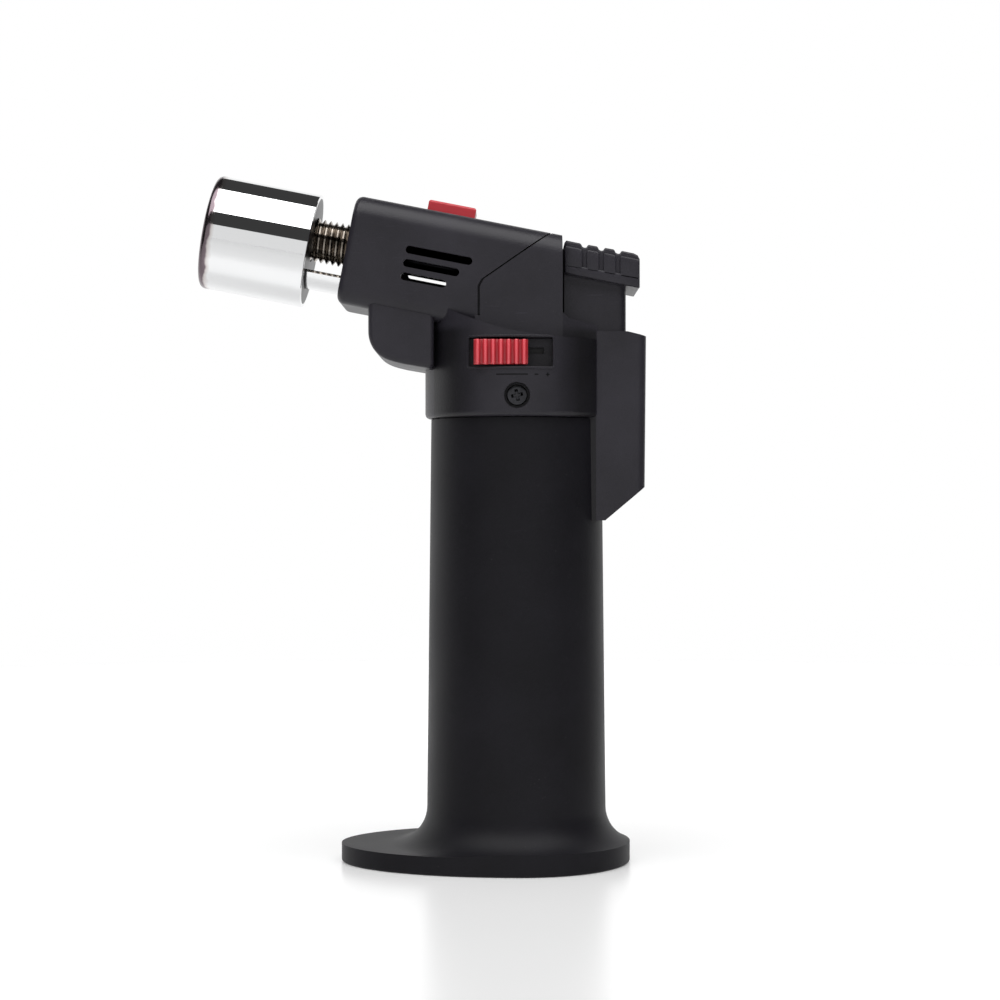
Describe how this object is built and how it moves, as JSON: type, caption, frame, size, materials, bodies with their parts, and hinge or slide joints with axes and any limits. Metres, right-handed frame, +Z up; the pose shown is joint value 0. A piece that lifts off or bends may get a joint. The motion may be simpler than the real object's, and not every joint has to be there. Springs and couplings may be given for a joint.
{
  "type": "butane torch",
  "caption": "Hand-held refillable butane torch with a flared standing foot, tilted burner head, press trigger, flame slider and lock button.",
  "frame": {"origin": "on the handle's axis in the plane the foot stands on, at the mouth of the refill hole", "axes": "+Z up along the handle, burner towards -X, trigger towards +X, Y across the head"},
  "size_m": [0.0976, 0.0482, 0.1502],
  "materials": {
    "black_soft_touch": "fine matte texture",
    "black_trigger": "satin moulded",
    "black_cover": "matte moulded",
    "red_plastic": "satin moulded",
    "chrome_plate": "mirror",
    "dark_nickel": "dark plated thread",
    "black_steel": "black oxide",
    "brass": "turned",
    "spring_steel": "drawn wire",
    "zinc_lever": "die cast",
    "frosted_nylon": "translucent",
    "white_acetal": "moulded",
    "black_igniter": "moulded",
    "grey_igniter": "moulded",
    "white_ceramic": "fired ceramic",
    "wire_jacket": "silicone",
    "clear_hose": "translucent",
    "black_rubber": "matte",
    "felt_filter": "felt"
  },
  "bodies": {
    "torch_body": {"flared_foot": "black_soft_touch", "handle_casing": "black_soft_touch", "left_shell": "black_soft_touch", "right_shell": "black_soft_touch", "nose_cover": "black_soft_touch", "base_cover": "black_cover", "nozzle_guard": "chrome_plate", "guard_neck": "chrome_plate", "burner_tube": "dark_nickel", "burner_nut": "dark_nickel", "collar_screws": "black_steel", "shell_screws": "black_steel", "base_screws": "black_steel", "gas_jet": "brass", "outlet_valve_body": "brass", "refill_valve_body": "brass", "valve_spring": "spring_steel", "refill_spring": "spring_steel", "piezo_spring": "spring_steel", "lever_pin": "spring_steel", "flame_disc": "spring_steel", "spark_electrode": "spring_steel", "fuel_tank": "frosted_nylon", "tank_cap": "frosted_nylon", "burner_bracket": "white_acetal", "piezo_body": "black_igniter", "ceramic_sleeve": "white_ceramic", "ignition_wire": "wire_jacket", "gas_hose": "clear_hose", "tank_ring": "black_rubber", "gas_filter": "felt_filter", "fuel_wick": "felt_filter"},
    "trigger_set": {"trigger": "black_trigger", "piezo_plunger": "grey_igniter"},
    "gas_lever": {"gas_lever": "zinc_lever"},
    "valve_stem": {"valve_stem": "brass"},
    "flame_slider": {"flame_knob": "red_plastic", "slider_rack": "black_cover"},
    "flow_wheel": {"flow_wheel": "white_acetal"},
    "lock_button": {"lock_button": "red_plastic"},
    "refill_stem": {"refill_stem": "brass"}
  },
  "joints": [
    {"name": "trigger_press", "type": "slide", "parent": "torch_body", "child": "trigger_set", "axis": [0, 0, -1], "range_m": [0, 0.005], "stiffness_N_per_m": 900, "springref_m": -0.002, "deforming": ["piezo_spring"]},
    {"name": "lever_rock", "type": "hinge", "parent": "torch_body", "child": "gas_lever", "pos_m": [0.0048, 0, 0.107], "axis": [0, 1, 0], "range_deg": [0, 30]},
    {"name": "valve_lift", "type": "slide", "parent": "torch_body", "child": "valve_stem", "axis": [0, 0, 1], "range_m": [0, 0.0026], "deforming": ["valve_spring"]},
    {"name": "flame_set", "type": "slide", "parent": "torch_body", "child": "flame_slider", "axis": [1, 0, 0], "range_m": [0, 0.005]},
    {"name": "wheel_turn", "type": "hinge", "parent": "torch_body", "child": "flow_wheel", "pos_m": [0, 0, 0.1], "axis": [0, 0, 1], "range_deg": [0, 45]},
    {"name": "lock_slide", "type": "slide", "parent": "torch_body", "child": "lock_button", "axis": [0.9816, 0, -0.1908], "range_m": [0, 0.003]},
    {"name": "refill_push", "type": "slide", "parent": "torch_body", "child": "refill_stem", "axis": [0, 0, 1], "range_m": [0, 0.0015], "stiffness_N_per_m": 800, "springref_m": -0.001, "deforming": ["refill_spring"]}
  ],
  "couplings": [
    {"joint": "lever_rock", "follows": "trigger_press", "rad_per_m": 104.61},
    {"joint": "valve_lift", "follows": "trigger_press", "ratio": 0.51395},
    {"joint": "wheel_turn", "follows": "flame_set", "rad_per_m": 156.25}
  ]
}
